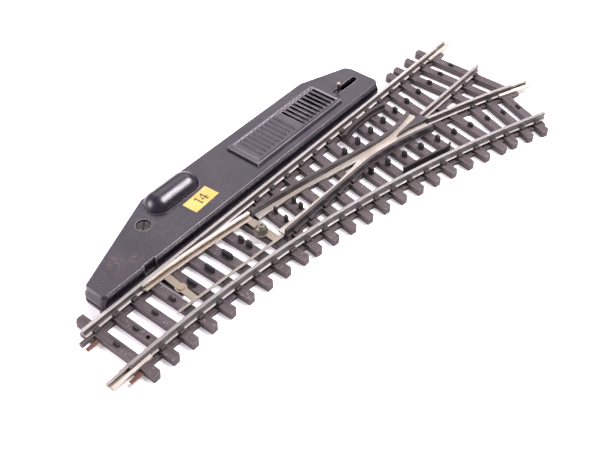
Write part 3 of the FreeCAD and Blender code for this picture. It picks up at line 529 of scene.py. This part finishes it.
metalDust = (0.36, 0.32, 0.30, 1)
metalLooks = {
    "rail": {
        "bright": (0.57, 0.565, 0.53, 1), "film": (0.26, 0.22, 0.19, 1), "edge": (0.74, 0.72, 0.70, 1),
        "tarnish": 0.35, "rough": 0.34, "dust": 0.3,
        # dark steps on the web and under the head: painted shade, with some dull film
        "bands": [
            (2.1, (0.30, 0.28, 0.27), 0.55), (2.42, (0.26, 0.24, 0.23), 0.55),       # foot
            (2.55, (0.05, 0.035, 0.03), 0.9), (3.1, (0.06, 0.042, 0.035), 0.85),     # web
            (3.75, (0.07, 0.05, 0.04), 0.8), (4.15, (0.045, 0.032, 0.028), 0.85),
            (4.38, (0.2, 0.18, 0.17), 0.3), (4.46, (0.5, 0.5, 0.5), 0.0),            # head
        ],
    },
    "curvedRail": {
        "bright": (0.32, 0.315, 0.30, 1), "film": (0.20, 0.18, 0.165, 1), "edge": (0.74, 0.72, 0.70, 1),
        "tarnish": 0.35, "rough": 0.36, "dust": 0.3,
        # dark steps at the web's foot and under the head: painted shade, with some dull film
        "bands": [
            (2.1, (0.28, 0.265, 0.26), 0.5), (2.42, (0.22, 0.21, 0.20), 0.5),        # foot
            (2.56, (0.03, 0.025, 0.022), 0.9), (2.8, (0.16, 0.15, 0.145), 0.5),      # web
            (3.6, (0.19, 0.18, 0.175), 0.45), (3.85, (0.05, 0.04, 0.036), 0.85),
            (4.25, (0.045, 0.036, 0.032), 0.8), (4.46, (0.5, 0.5, 0.5), 0.0),        # head
        ],
    },
    "blade": {
        "bright": (0.62, 0.60, 0.56, 1), "film": (0.40, 0.33, 0.20, 1), "edge": (0.72, 0.69, 0.58, 1),
        # corner colour and reach: painted shade in the blade's inner corners, with golden-brown grime
        "tarnish": 0.35, "rough": 0.36, "dust": 0.25, "shadeAndGrime": (0.17, 0.095, 0.036, 1), "shadeAndGrimeReach": 1.0,
        "bands": [
            (2.6, (0.26, 0.21, 0.14), 0.3), (3.02, (0.34, 0.28, 0.19), 0.35),        # flange
            (3.1, (0.13, 0.075, 0.028), 0.8), (3.45, (0.17, 0.10, 0.038), 0.75),     # web
            (3.84, (0.10, 0.062, 0.028), 0.85), (3.96, (0.4, 0.36, 0.3), 0.2),
            (4.1, (0.5, 0.5, 0.5), 0.0),                                             # head
        ],
    },
    "rightBlade": {
        "bright": (0.30, 0.285, 0.25, 1), "film": (0.22, 0.19, 0.14, 1), "edge": (0.6, 0.57, 0.48, 1),
        "tarnish": 0.5, "rough": 0.40, "dust": 0.25,
    },
    "strap": {
        "bright": (0.30, 0.27, 0.215, 1), "film": (0.23, 0.19, 0.145, 1), "edge": (0.6, 0.56, 0.44, 1),
        "tarnish": 0.7, "rough": 0.40, "dust": 0.25, "blotches": 220.0,
    },
    "contact": {
        "bright": (0.47, 0.46, 0.40, 1), "film": (0.26, 0.205, 0.165, 1), "edge": (0.66, 0.61, 0.56, 1),
        "tarnish": 0.6, "rough": 0.44, "dust": 0.35, "blotches": 160.0,
    },
    "joiner": {
        "bright": (0.42, 0.405, 0.35, 1), "film": (0.40, 0.355, 0.29, 1), "edge": (0.66, 0.61, 0.50, 1),
        "tarnish": 0.55, "rough": 0.40, "dust": 0.25,
    },
    "stud": {
        "bright": (0.050, 0.052, 0.050, 1), "film": (0.026, 0.025, 0.024, 1), "edge": (0.34, 0.33, 0.32, 1),
        "tarnish": 0.6, "rough": 0.42, "dust": 0.25,
    },
    "copper": {
        "bright": (0.20, 0.105, 0.075, 1), "film": (0.075, 0.042, 0.034, 1), "edge": (0.42, 0.26, 0.19, 1),
        "tarnish": 0.8, "rough": 0.46, "dust": 0.3,
    },
    "knob": {
        "bright": (0.215, 0.21, 0.165, 1), "film": (0.17, 0.16, 0.125, 1), "edge": (0.46, 0.44, 0.37, 1),
        "tarnish": 0.6, "rough": 0.42, "dust": 0.3,
    },
    "steel": {
        "bright": (0.45, 0.44, 0.43, 1), "film": (0.18, 0.155, 0.13, 1), "edge": (0.7, 0.69, 0.68, 1),
        "tarnish": 0.4, "rough": 0.34, "dust": 0.2,
    },
    "screw": {
        # near-black steps paint shade in the slot and round the head; the light edge colour is partly wear,
        # partly a painted highlight on the rim
        "bright": (0.055, 0.050, 0.046, 1), "film": (0.028, 0.022, 0.018, 1), "edge": (0.42, 0.39, 0.35, 1),
        "tarnish": 0.7, "rough": 0.34, "dust": 0.25,
        "bands": [
            (6.0, (0.008, 0.007, 0.006), 0.95), (6.95, (0.008, 0.007, 0.006), 0.95),
            (7.02, (0.1, 0.1, 0.1), 0.0),
        ],
    },
    "winding": {
        "bright": (0.016, 0.010, 0.008, 1), "film": (0.010, 0.007, 0.006, 1), "edge": (0.04, 0.024, 0.018, 1),
        "tarnish": 0.4, "rough": 0.36, "dust": 0.1,
    },
    "brass": {
        "bright": (0.60, 0.46, 0.22, 1), "film": (0.28, 0.19, 0.08, 1), "edge": (0.8, 0.66, 0.4, 1),
        "tarnish": 0.4, "rough": 0.34, "dust": 0.2,
    },
    "lever": {
        "bright": (0.10, 0.09, 0.075, 1), "film": (0.05, 0.042, 0.035, 1), "edge": (0.4, 0.36, 0.3, 1),
        "tarnish": 0.5, "rough": 0.4, "dust": 0.2,
        "bands": [
            (9.6, (0.1, 0.09, 0.08), 0.0), (9.8, (0.58, 0.51, 0.34), 0.9), (11.0, (0.62, 0.55, 0.38), 0.9),
        ],
    },
}
metalLooks["exitRail"] = {**metalLooks["rail"], "bright": (0.38, 0.37, 0.345, 1)}


paperLook = {
    "dark": (0.48, 0.345, 0.072, 1), "light": (0.57, 0.43, 0.125, 1), "faded": (0.74, 0.62, 0.26, 1),
    "wornAndHighlit": (0.66, 0.50, 0.20, 1), "ink": (0.025, 0.025, 0.03, 1), "thinInk": (0.13, 0.11, 0.07, 1),
}


def labelPaper():
    # Matt yellow paper: printed tint that mottles, scuffed border
    material, tree, shader = newMaterial("labelPaper")
    look = paperLook
    fibres = noise(tree, objectPlace(tree), 1500.0, 5.0, 0.7)
    colour = blend(tree, span(tree, fibres, 0.3, 0.7), look["dark"], look["light"])
    dust = useGroup(tree, "settledDust", Amount=0.5, Specks=900.0, Blotches=200.0)
    faded = span(tree, dust.outputs["Blotch"], 0.45, 0.75, 0.0, 0.35)
    colour = blend(tree, faded, colour, look["faded"])
    wearAndHighlight = useGroup(tree, "edgeWearAndHighlight", Width=0.0003, Strength=1.0, Breakup=1600.0)
    colour = blend(tree, wearAndHighlight.outputs["Mask"], colour, look["wornAndHighlit"])
    wire(tree, shader, "Base Color", colour)
    shader.inputs["Roughness"].default_value = 0.7
    bump(tree, shader, fibres, 0.00001)
    return material


def printingInk():
    material, tree, shader = newMaterial("printingInk")
    patchy = span(tree, noise(tree, objectPlace(tree), 2200.0, 4.0), 0.35, 0.75)
    wire(tree, shader, "Base Color", blend(tree, patchy, paperLook["ink"], paperLook["thinInk"]))
    shader.inputs["Roughness"].default_value = 0.6
    return material


def makeFinishes():
    shared["edgeWearAndHighlight"] = makeEdgeWearAndHighlight()
    shared["settledDust"] = makeDust()
    shared["drawnStreaks"] = makeStreaks()
    finishes = {}
    for look, values in plasticLooks.items():
        finishes[look + "Plastic"] = moulded(look + "Plastic", values)
    for look, values in metalLooks.items():
        finishes[look + "Metal"] = metal(look + "Metal", values)
    finishes["tiePlastic"] = tiePlastic()
    finishes["coverPlastic"] = coverPlastic("coverPlastic", "cover", True)
    finishes["ventPlastic"] = coverPlastic("ventPlastic", "vent", False)
    finishes["labelPaper"] = labelPaper()
    finishes["printingInk"] = printingInk()
    print("finishes made:", len(finishes))
    return finishes


tieBed = {
    "width": 3.05, "top": 2.1, "chamfer": 0.9, "edge": 0.16, "grainDepth": 0.05, "seed": 4,
    # spacing of the points along a tie, and how many lie across its top; finer round the hole
    "spacing": 0.55, "across": 13, "holeSpacing": 0.08, "holeAcross": 44, "holeDepth": 1.9,
    "squareFirst": 3.42, "squarePitch": 6.93, "squareCount": 9, "fanFirst": 66.9, "fanPitch": 7.06,
    "fanLeans": [8.8, 9.3, 9.5, 9.9, 10.1, 10.3, 10.4, 10.6, 10.8, 10.8, 10.9, 10.9],
    "bent": [(151.6, 146.8), (158.6, 153.1), (165.7, 159.0)],
    "tieEnd": 15.0, "housingFront": 10.75, "curveRadius": 424.6, "railOffset": 8.8,
    "webTop": 1.2, "hole": (10.35, -4.5, 0.6), "length": 168.9, "curveAngle": 22.5, "rodGap": (25.7, 29.6),
    "webStart": 0.3, "webMargin": 0.5, "slimWebs": (61.6, 131.0), "arcWebEnds": (158.6, 165.2),
    "wideWeb": 4.4, "slimWeb": 2.4,
    # pegs: x from and to, y from and to; post: radius and heights
    "pegs": [(-2.4, 2.4, 6.9, 8.0), (-2.2, 2.4, -7.7, -6.7), (166.0, 170.6, 6.0, 7.2)],
    "pegHeights": (0.9, 2.05),
    "lastPeg": {"aside": 6.6, "stops": (-3.5, -1.0, 1.6), "width": 1.2},
    "pivot": (58.25, -2.6), "post": [(2.1, 1.5, 2.55), (1.3, 2.5, 3.05)], "postTurns": 24,
}
innerRadius = tieBed["curveRadius"] - tieBed["railOffset"]
outerRadius = tieBed["curveRadius"] + tieBed["railOffset"]


def arcY(radius, x):
    return np.sqrt(radius ** 2 - np.square(x)) - tieBed["curveRadius"]


def alongTo(x, lean, radius):
    # Distance along a leaning tie, from the straight centre line to a circle of the diverging route
    s, c = math.sin(math.radians(lean)), math.cos(math.radians(lean))
    dot = x * s + tieBed["curveRadius"] * c
    return -dot + math.sqrt(dot ** 2 - (x ** 2 + tieBed["curveRadius"] ** 2 - radius ** 2))


def tiePlaces():
    # Each tie: origin x and y, lean in degrees, start and end along it
    look = tieBed
    places = []
    reach = innerRadius - 6.5
    for i in range(look["squareCount"]):
        x = look["squareFirst"] + look["squarePitch"] * i
        end = (look["tieEnd"], 13.6)[i] if i < 2 else look["housingFront"]
        places.append((x, 0.0, 0.0, alongTo(x, 0.0, reach), end))
    for i, lean in enumerate(look["fanLeans"]):
        x = look["fanFirst"] + look["fanPitch"] * i
        end = look["tieEnd"] if i == len(look["fanLeans"]) - 1 else look["housingFront"]
        places.append((x, 0.0, lean, alongTo(x, lean, reach), end / math.cos(math.radians(lean))))
    for x, divergingX in look["bent"]:
        places.append((x, 0.0, 0.0, float(arcY(outerRadius, x)), look["tieEnd"]))
        lean = math.degrees(math.asin(divergingX / look["curveRadius"]))
        y = float(arcY(look["curveRadius"], divergingX))
        places.append((divergingX, y, lean, -look["tieEnd"], look["railOffset"]))
    return places


def woodGrain(across, along, chance):
    # Height of the moulded grain, 0 to 1: lines along the tie, each a cosine across it whose phase
    # wanders slowly with the distance along
    total = 0
    for pitch in (0.62, 0.91, 1.35):
        wander = chance.uniform(0.8, 1.6) * np.sin(along / chance.uniform(4, 8) + chance.uniform(0, 6))
        total = total + np.cos(2 * math.pi * across / pitch + wander + chance.uniform(0, 6))
    return 0.5 + total / 6


def tieSurface(place, chance):
    # Closed slab: a ring of points round the cross-section, carried along the tie. The ring is a
    # rectangle with rounded upper corners; near the ends one side draws in for the chamfer
    look = tieBed
    x, y, lean, start, end = place
    holeX, holeY, holeRadius = look["hole"]
    holed = abs(x - holeX) < 0.1
    half, top, edge = look["width"] / 2, look["top"], look["edge"]
    stops = np.linspace(start + edge, end - edge, int((end - start) / look["spacing"]))
    if holed:
        stops = np.union1d(stops, np.arange(holeY - 1, holeY + 1, look["holeSpacing"]))
    near = np.array([start, start + 0.3 * edge, start + look["chamfer"]])
    far = np.array([end - look["chamfer"], end - 0.3 * edge, end])
    b = np.unique(np.concatenate([near, stops, far]))
    count = look["holeAcross"] if holed else look["across"]
    turn = np.linspace(0, math.pi / 2, 4)
    topLine = np.linspace(1 - edge / half, -1 + edge / half, count)
    side = np.concatenate([[1, 1], 1 - edge / half * (1 - np.cos(turn[1:-1])), topLine,
                           -1 + edge / half * (1 - np.sin(turn[1:-1])), [-1, -1]])
    rise = np.concatenate([[0, top - edge], top - edge * (1 - np.sin(turn[1:-1])), np.full(count, top),
                           top - edge * (1 - np.cos(turn[1:-1])), [top - edge, 0]])
    right = half - np.clip(look["chamfer"] - (b - start), 0, None)
    left = half - np.clip(look["chamfer"] - (end - b), 0, None)
    ends = np.minimum(b - start, end - b)
    inset = edge * np.clip(1 - ends / edge, 0, 1) ** 2
    a = np.where(side > 0, side * (right - inset)[:, None], side * (left - inset)[:, None])
    z = np.minimum(rise[None, :], top - inset[:, None])
    flat = rise > top - 0.001
    grain = woodGrain(a, b[:, None], chance)
    z = z - np.where(flat, look["grainDepth"] * (1 - grain), 0)
    if holed:
        away = np.hypot(a + x - holeX, b[:, None] + y - holeY)
        lip = np.clip((away - holeRadius * 0.85) / (holeRadius * 0.3), 0, 1)
        z = np.where(flat, z - look["holeDepth"] * (1 - smooth(lip)), z)
    s, c = math.sin(math.radians(lean)), math.cos(math.radians(lean))
    bb = np.broadcast_to(b[:, None], a.shape)
    points = np.stack([x + a * c + bb * s, y - a * s + bb * c, z], axis=-1)
    uv = np.stack([bb + x * 3.7, a + z], axis=-1)
    return points, uv


def barSurface(path, profile):
    # Closed bar: each (sideways, height) of the profile is carried along the path, square to it
    line = np.asarray(path, float)
    way = np.gradient(line, axis=0)
    way /= np.linalg.norm(way, axis=1)[:, None]
    shape = np.asarray(profile, float)
    x = line[:, :1] - way[:, 1:] * shape[None, :, 0]
    y = line[:, 1:] + way[:, :1] * shape[None, :, 0]
    z = np.broadcast_to(shape[None, :, 1], x.shape)
    points = np.stack([x, y, z], axis=-1)
    steps = np.linalg.norm(np.diff(line, axis=0, prepend=line[:1]), axis=1)
    run = np.broadcast_to(np.cumsum(steps)[:, None], x.shape)
    return points, np.stack([run, np.broadcast_to(shape[None, :, 0], x.shape)], axis=-1)


def arcPath(radius, x0, x1, count=60):
    x = np.linspace(x0, x1, count)
    return np.stack([x, arcY(radius, x)], axis=-1)


def straightPath(x0, x1, y):
    return [(x0, y), ((x0 + x1) / 2, y), (x1, y)]


def block(width, low, high):
    # Rectangular profile of a bar, round its path
    return [(-width / 2, low), (width / 2, low), (width / 2, high), (-width / 2, high)]


def disc(x, y, radius, low, high):
    # Upright cylinder: two rings of the same radius
    t = np.linspace(0, 2 * math.pi, tieBed["postTurns"], endpoint=False)
    ring = np.stack([x + radius * np.cos(t), y + radius * np.sin(t)], axis=-1)
    points = np.array([np.column_stack([ring, np.full(len(t), z)]) for z in (low, high)])
    return points, points[..., :2]


def bedBars():
    # Webs under the rails, pegs at the ends and the post of the pivot
    look = tieBed
    wide = block(look["wideWeb"], 0, look["webTop"])
    slim = block(look["slimWeb"], 0, look["webTop"])
    begin, finish, offset = look["webStart"], look["length"] - look["webMargin"], look["railOffset"]
    first, second = look["rodGap"]
    slimFrom, slimTo = look["slimWebs"]
    innerEnd, outerEnd = look["arcWebEnds"]
    bars = [
        barSurface(straightPath(begin, first, offset), wide),
        barSurface(straightPath(second, finish, offset), wide),
        barSurface(arcPath(innerRadius, begin, innerEnd), wide),
        barSurface(straightPath(slimFrom, slimTo, -offset), slim),
        barSurface(straightPath(slimTo, finish, -offset), wide),
        barSurface(arcPath(outerRadius, slimFrom, slimTo), slim),
        barSurface(arcPath(outerRadius, slimTo, outerEnd), wide),
    ]
    pegLow, pegHigh = look["pegHeights"]
    for x0, x1, y0, y1 in look["pegs"]:
        bars.append(barSurface(straightPath(x0, x1, (y0 + y1) / 2), block(y1 - y0, pegLow, pegHigh)))
    turn = math.radians(look["curveAngle"])
    radius = look["curveRadius"] + look["lastPeg"]["aside"]
    endX, endY = radius * math.sin(turn), radius * math.cos(turn) - look["curveRadius"]
    reach = np.array(look["lastPeg"]["stops"])[:, None]
    path = np.array([endX, endY]) + reach * np.array([math.cos(turn), -math.sin(turn)])
    bars.append(barSurface(path, block(look["lastPeg"]["width"], pegLow, pegHigh)))
    for radius, low, high in look["post"]:
        bars.append(disc(*look["pivot"], radius, low, high))
    return bars


def makeTieBed(finishes):
    # Ties and bars joined in one mesh, each a closed tube of its own with flat ends
    chance = np.random.default_rng(tieBed["seed"])
    points, uvs, faces, start = [], [], [], 0
    for surface, uv in [tieSurface(place, chance) for place in tiePlaces()] + bedBars():
        rows, columns = surface.shape[:2]
        some = gridFaces(rows, columns)
        some.append(tuple(range(columns))[::-1])
        some.append(tuple(range((rows - 1) * columns, rows * columns)))
        some = facingOut(surface, some)
        faces += [tuple(i + start for i in face) for face in some]
        points.append(surface.reshape(-1, 3))
        uvs.append(uv.reshape(-1, 2))
        start += rows * columns
    points, uvs = np.concatenate(points) * mm, np.concatenate(uvs) * mm
    bed = pieceFrom("tieBed", points, faces, finishes["tiePlastic"], uvs)
    sharpen(bed, 40)
    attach(bed, "track")
    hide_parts("tie_bed")
    print("tie bed:", len(faces), "faces")


def thicken(piece, thickness):
    # Gives an open sheet its walls, on the underside
    wall = piece.modifiers.new("wall", "SOLIDIFY")
    wall.thickness = thickness * mm
    wall.offset = -1


def sharpen(piece, degrees):
    # Marks the edges that turn more than the angle, so that flats stay flat
    piece.data.set_sharp_from_angle(angle=math.radians(degrees))


ventPanel = {
    "box": (75.7, 118.2, 13.3, 26.5), "foot": 7.42, "height": 0.98, "shoulder": 0.34, "thickness": 0.45,
    "dish": 0.42, "dishMargins": (1.9, 0.9, 1.0, 0.9), "dishSlope": 0.35,
    "ribFirst": 80.47, "ribPitch": 2.03, "ribCount": 9, "ribHalf": 0.7, "ribHeight": 0.42,
    "slotFirst": 100.2, "slotPitch": 1.98, "slotWidth": 1.05, "slotCount": 9, "slotEnds": (15.3, 25.0),
    "crestHeight": 0.34,
    # ribs and crests: where they end in y, and how far each end takes to run out
    "ends": (15.1, 25.55), "endRun": (1.6, 0.25),
    "gridSteps": (260, 40), "rim": 0.7,
}


def smooth(t):
    t = np.clip(t, 0, 1)
    return t * t * (3 - 2 * t)


def gridLine(low, high, steps, extra):
    # Even steps, closer ones along both rims, and the extra values
    rim = ventPanel["rim"]
    parts = [np.linspace(low, high, steps), np.linspace(low, low + rim, 8), np.linspace(high - rim, high, 8)]
    return np.unique(np.round(np.concatenate(parts + [extra]), 3))


def ventHeight(xx, yy, slots):
    # Height over a plan grid: a rounded shoulder round the border, a dish inside it, cosine ribs in
    # the near half, and in the far half thin crests between open slots
    look = ventPanel
    x0, x1, y0, y1 = look["box"]
    edge = np.minimum(np.minimum(xx - x0, x1 - xx), np.minimum(yy - y0, y1 - yy))
    bent = np.clip(edge / look["shoulder"], 0, 1)
    z = look["foot"] + look["height"] * np.sqrt(1 - (1 - bent) ** 2)
    m0, m1, m2, m3 = look["dishMargins"]
    inner = np.minimum(np.minimum(xx - x0 - m0, x1 - m1 - xx), np.minimum(yy - y0 - m2, y1 - m3 - yy))
    z -= look["dish"] * smooth(inner / look["dishSlope"] + 0.3)
    low, high = look["ends"]
    nearRun, farRun = look["endRun"]
    ends = smooth((yy - low) / nearRun) * smooth((high - yy) / farRun)
    for i in range(look["ribCount"]):
        aside = np.clip(np.abs(xx - look["ribFirst"] - look["ribPitch"] * i) / look["ribHalf"], 0, 1)
        z += look["ribHeight"] * (0.5 + 0.5 * np.cos(math.pi * aside)) * ends
    crestHalf = (look["slotPitch"] - look["slotWidth"]) / 2
    for _, slotEnd in slots[:-1]:
        aside = np.clip(np.abs(xx - slotEnd - crestHalf) / crestHalf, 0, 1)
        z += look["crestHeight"] * (1 - aside ** 2) * ends
    return z


def makeVentPanel(finishes):
    look = ventPanel
    x0, x1, y0, y1 = look["box"]
    starts = look["slotFirst"] + look["slotPitch"] * np.arange(look["slotCount"])
    slots = [(start, start + look["slotWidth"]) for start in starts]
    low, high = look["slotEnds"]
    last = look["ends"][1]
    x = gridLine(x0, x1, look["gridSteps"][0], [v for pair in slots for v in pair])
    y = gridLine(y0, y1, look["gridSteps"][1], [low, high, *np.linspace(last - 0.6, last, 6)])
    xx, yy = np.meshgrid(x, y, indexing="ij")
    rows, columns = xx.shape
    r, c = np.meshgrid(np.arange(rows - 1), np.arange(columns - 1), indexing="ij")
    midX, midY = (x[r] + x[r + 1]) / 2, (y[c] + y[c + 1]) / 2
    solid = np.ones(r.shape, bool)
    for start, end in slots:
        solid &= ~((midX > start) & (midX < end) & (midY > low) & (midY < high))
    a = (r * columns + c)[solid]
    faces = np.stack([a, a + columns, a + columns + 1, a + 1], axis=-1).tolist()
    points = np.stack([xx, yy, ventHeight(xx, yy, slots)], axis=-1)
    panel = pieceFrom("ventPanel", points * mm, faces, finishes["ventPlastic"])
    thicken(panel, look["thickness"])
    sharpen(panel, 50)
    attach(panel, "track")
    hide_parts("vent_panel")
    print("vent panel:", len(faces), "faces")


labelDigits = {
    "centre": (53.95, 17.1), "turn": 3.7, "z": 7.505, "thickness": 0.015,
    # strokes as four-cornered pieces, in the label's own millimetres: one, then four
    "strokes": [
        [(-1.62, -1.55), (-0.22, -1.55), (-0.22, -1.33), (-1.62, -1.33)],
        [(-1.16, -1.33), (-0.68, -1.33), (-0.68, 1.65), (-1.16, 1.65)],
        [(-1.80, 1.02), (-1.70, 0.86), (-1.16, 1.18), (-1.16, 1.65)],
        [(0.98, -1.55), (2.22, -1.55), (2.22, -1.33), (0.98, -1.33)],
        [(1.36, -1.33), (1.84, -1.33), (1.84, 1.65), (1.36, 1.65)],
        [(0.10, -0.72), (2.45, -0.72), (2.45, -0.40), (0.10, -0.40)],
        [(0.10, -0.40), (0.46, -0.40), (1.36, 1.22), (1.36, 1.65)],
    ],
}


def makeDigits(finishes):
    # Two digits printed on the label: thin plates, one for each stroke
    look = labelDigits
    plan = np.array(look["strokes"], float)
    turn = math.radians(look["turn"])
    x = look["centre"][0] + plan[..., 0] * math.cos(turn) - plan[..., 1] * math.sin(turn)
    y = look["centre"][1] + plan[..., 0] * math.sin(turn) + plan[..., 1] * math.cos(turn)
    points = np.stack([x, y, np.full(x.shape, look["z"] + look["thickness"])], axis=-1)
    faces = np.arange(points.size // 3).reshape(-1, 4).tolist()
    digits = pieceFrom("labelDigits", points * mm, faces, finishes["printingInk"])
    thicken(digits, look["thickness"])
    sharpen(digits, 30)
    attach(digits, "track")


knob = {
    "centre": (58.25, -2.6, 0.0), "turns": 48,
    # radius and height, from the foot up to the dimple
    "profile": [(1.35, 3.05), (2.08, 3.05), (2.08, 3.34), (1.94, 3.46), (1.9, 3.9), (1.72, 4.45),
                (1.36, 4.95), (1.18, 5.12), (1.18, 5.58), (0.42, 5.58), (0.36, 5.2)],
    "rounding": 0.14,
}


def makeKnob(finishes):
    profile = rounded(knob["profile"], knob["rounding"])
    made = lathe("pivotKnob", knob["centre"], profile, knob["turns"], finishes["knobMetal"])
    sharpen(made, 50)
    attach(made, "track")
    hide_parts("pivot_knob")


coil = {
    "spans": {"near": (79.6, 97.0), "far": (99.5, 116.9)}, "y": 18.1, "z": 4.4,
    "outer": 2.53, "inner": 2.1, "flange": 0.86, "layers": 42, "around": 40, "dip": 0.1,
}


def makeWinding(side, finishes):
    # Sleeve of wound wire: radius = outer - a little |sin| dip between neighbouring turns, closed
    # through the bore, carried round the coil's lying axis
    look = coil
    start, end = look["spans"][side]
    start, end = start + look["flange"], end - look["flange"]
    along = np.linspace(start, end, look["layers"] * 5 + 1)
    dip = look["dip"] * (1 - np.abs(np.sin(math.pi * look["layers"] * (along - start) / (end - start))))
    along = np.concatenate([along, along[::-1][[0, -1]]])
    radius = np.concatenate([look["outer"] - dip, [look["inner"], look["inner"]]])
    t = np.linspace(0, 2 * math.pi, look["around"], endpoint=False)[None, :]
    x = np.broadcast_to(along[:, None], (len(along), look["around"]))
    y = look["y"] + radius[:, None] * np.cos(t)
    z = look["z"] + radius[:, None] * np.sin(t)
    points = np.stack([x, y, z], axis=-1)
    closed = np.concatenate([points, points[:1]])
    faces = gridFaces(len(closed), look["around"])
    last = len(points) * look["around"]
    faces = [tuple(i - last if i >= last else i for i in face) for face in faces]
    faces = facingOut(points, faces)
    winding = pieceFrom(side + "Winding", points * mm, faces, finishes["windingMetal"])
    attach(winding, "track")
    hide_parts("coil_winding_" + side)


nodeFinish = {
    # node: finish, rounding of its edges in millimetres
    "rail_chairs": ("guidePlastic", 0.10), "slide_plates": ("slidePlastic", 0.03),
    "stock_rail_straight": ("railMetal", 0.05), "stock_rail_curved": ("curvedRailMetal", 0.05),
    "exit_rail_straight": ("exitRailMetal", 0.05), "exit_rail_diverging": ("exitRailMetal", 0.05),
    "closure_guide_left": ("guidePlastic", 0.10), "closure_guide_right": ("guidePlastic", 0.10),
    "frog_nose": ("guidePlastic", 0.10), "frog_contact_plate": ("contactMetal", 0.06),
    "check_rail_left": ("checkPlastic", 0.14), "check_rail_right": ("checkPlastic", 0.10),
    "rail_joiner_toe": ("joinerMetal", 0.05), "rail_joiner_straight": ("joinerMetal", 0.05),
    "rail_joiner_diverging": ("joinerMetal", 0.05), "centre_studs": ("studMetal", 0.05),
    "contact_tongue_left": ("copperMetal", 0.05), "contact_tongue_right": ("copperMetal", 0.05),
    "blade_left": ("bladeMetal", 0.03), "blade_right": ("rightBladeMetal", 0.06),
    "stretcher_bar": ("strapMetal", 0.06), "heel_plate": ("strapMetal", 0.06),
    "heel_skirt": ("strapMetal", 0.04), "throw_rod": ("rodPlastic", 0.08),
    "drive_pin": ("bladeMetal", 0.04), "cam_pin": ("steelMetal", 0.05),
    "motor_base": ("basePlastic", 0.15), "motor_cover": ("coverPlastic", 0.0),
    "cover_screw": ("screwMetal", 0.06), "number_label": ("labelPaper", 0.0),
    "coil_bobbin_near": ("bobbinPlastic", 0.10), "coil_bobbin_far": ("bobbinPlastic", 0.10),
    "coil_yoke": ("steelMetal", 0.08), "plunger": ("steelMetal", 0.08),
    "lever_slider": ("rodPlastic", 0.10), "lever_pin": ("leverMetal", 0.0),
    "cam_link": ("rodPlastic", 0.10), "detent_spring": ("steelMetal", 0.04),
    "spring_post": ("basePlastic", 0.08), "terminal_block": ("bobbinPlastic", 0.10),
    "terminals": ("brassMetal", 0.05),
}


def roundEdges(node, width):
    # Merge the loose triangles, drop the lines inside flat faces, round what is left sharp
    weld = node.modifiers.new("weld", "WELD")
    weld.merge_threshold = 0.000002
    flatten = node.modifiers.new("flatten", "DECIMATE")
    flatten.decimate_type = "DISSOLVE"
    flatten.angle_limit = math.radians(0.15)
    edge = node.modifiers.new("edge", "BEVEL")
    edge.width = width * mm
    edge.segments = 2
    edge.limit_method = "ANGLE"
    edge.angle_limit = math.radians(32)
    edge.use_clamp_overlap = True
    even = node.modifiers.new("even", "WEIGHTED_NORMAL")
    even.keep_sharp = True


def finishNodes(finishes):
    for name, (finish, width) in nodeFinish.items():
        node = nodes[name]
        node.data.materials.clear()
        node.data.materials.append(finishes[finish])
        if width:
            roundEdges(node, width)
    print("nodes finished:", len(nodeFinish))


makeCamera()
finishes = makeFinishes()
finishNodes(finishes)
makeTieBed(finishes)
makeVentPanel(finishes)
makeDigits(finishes)
makeKnob(finishes)
for side in coil["spans"]:
    makeWinding(side, finishes)
makeStudio()
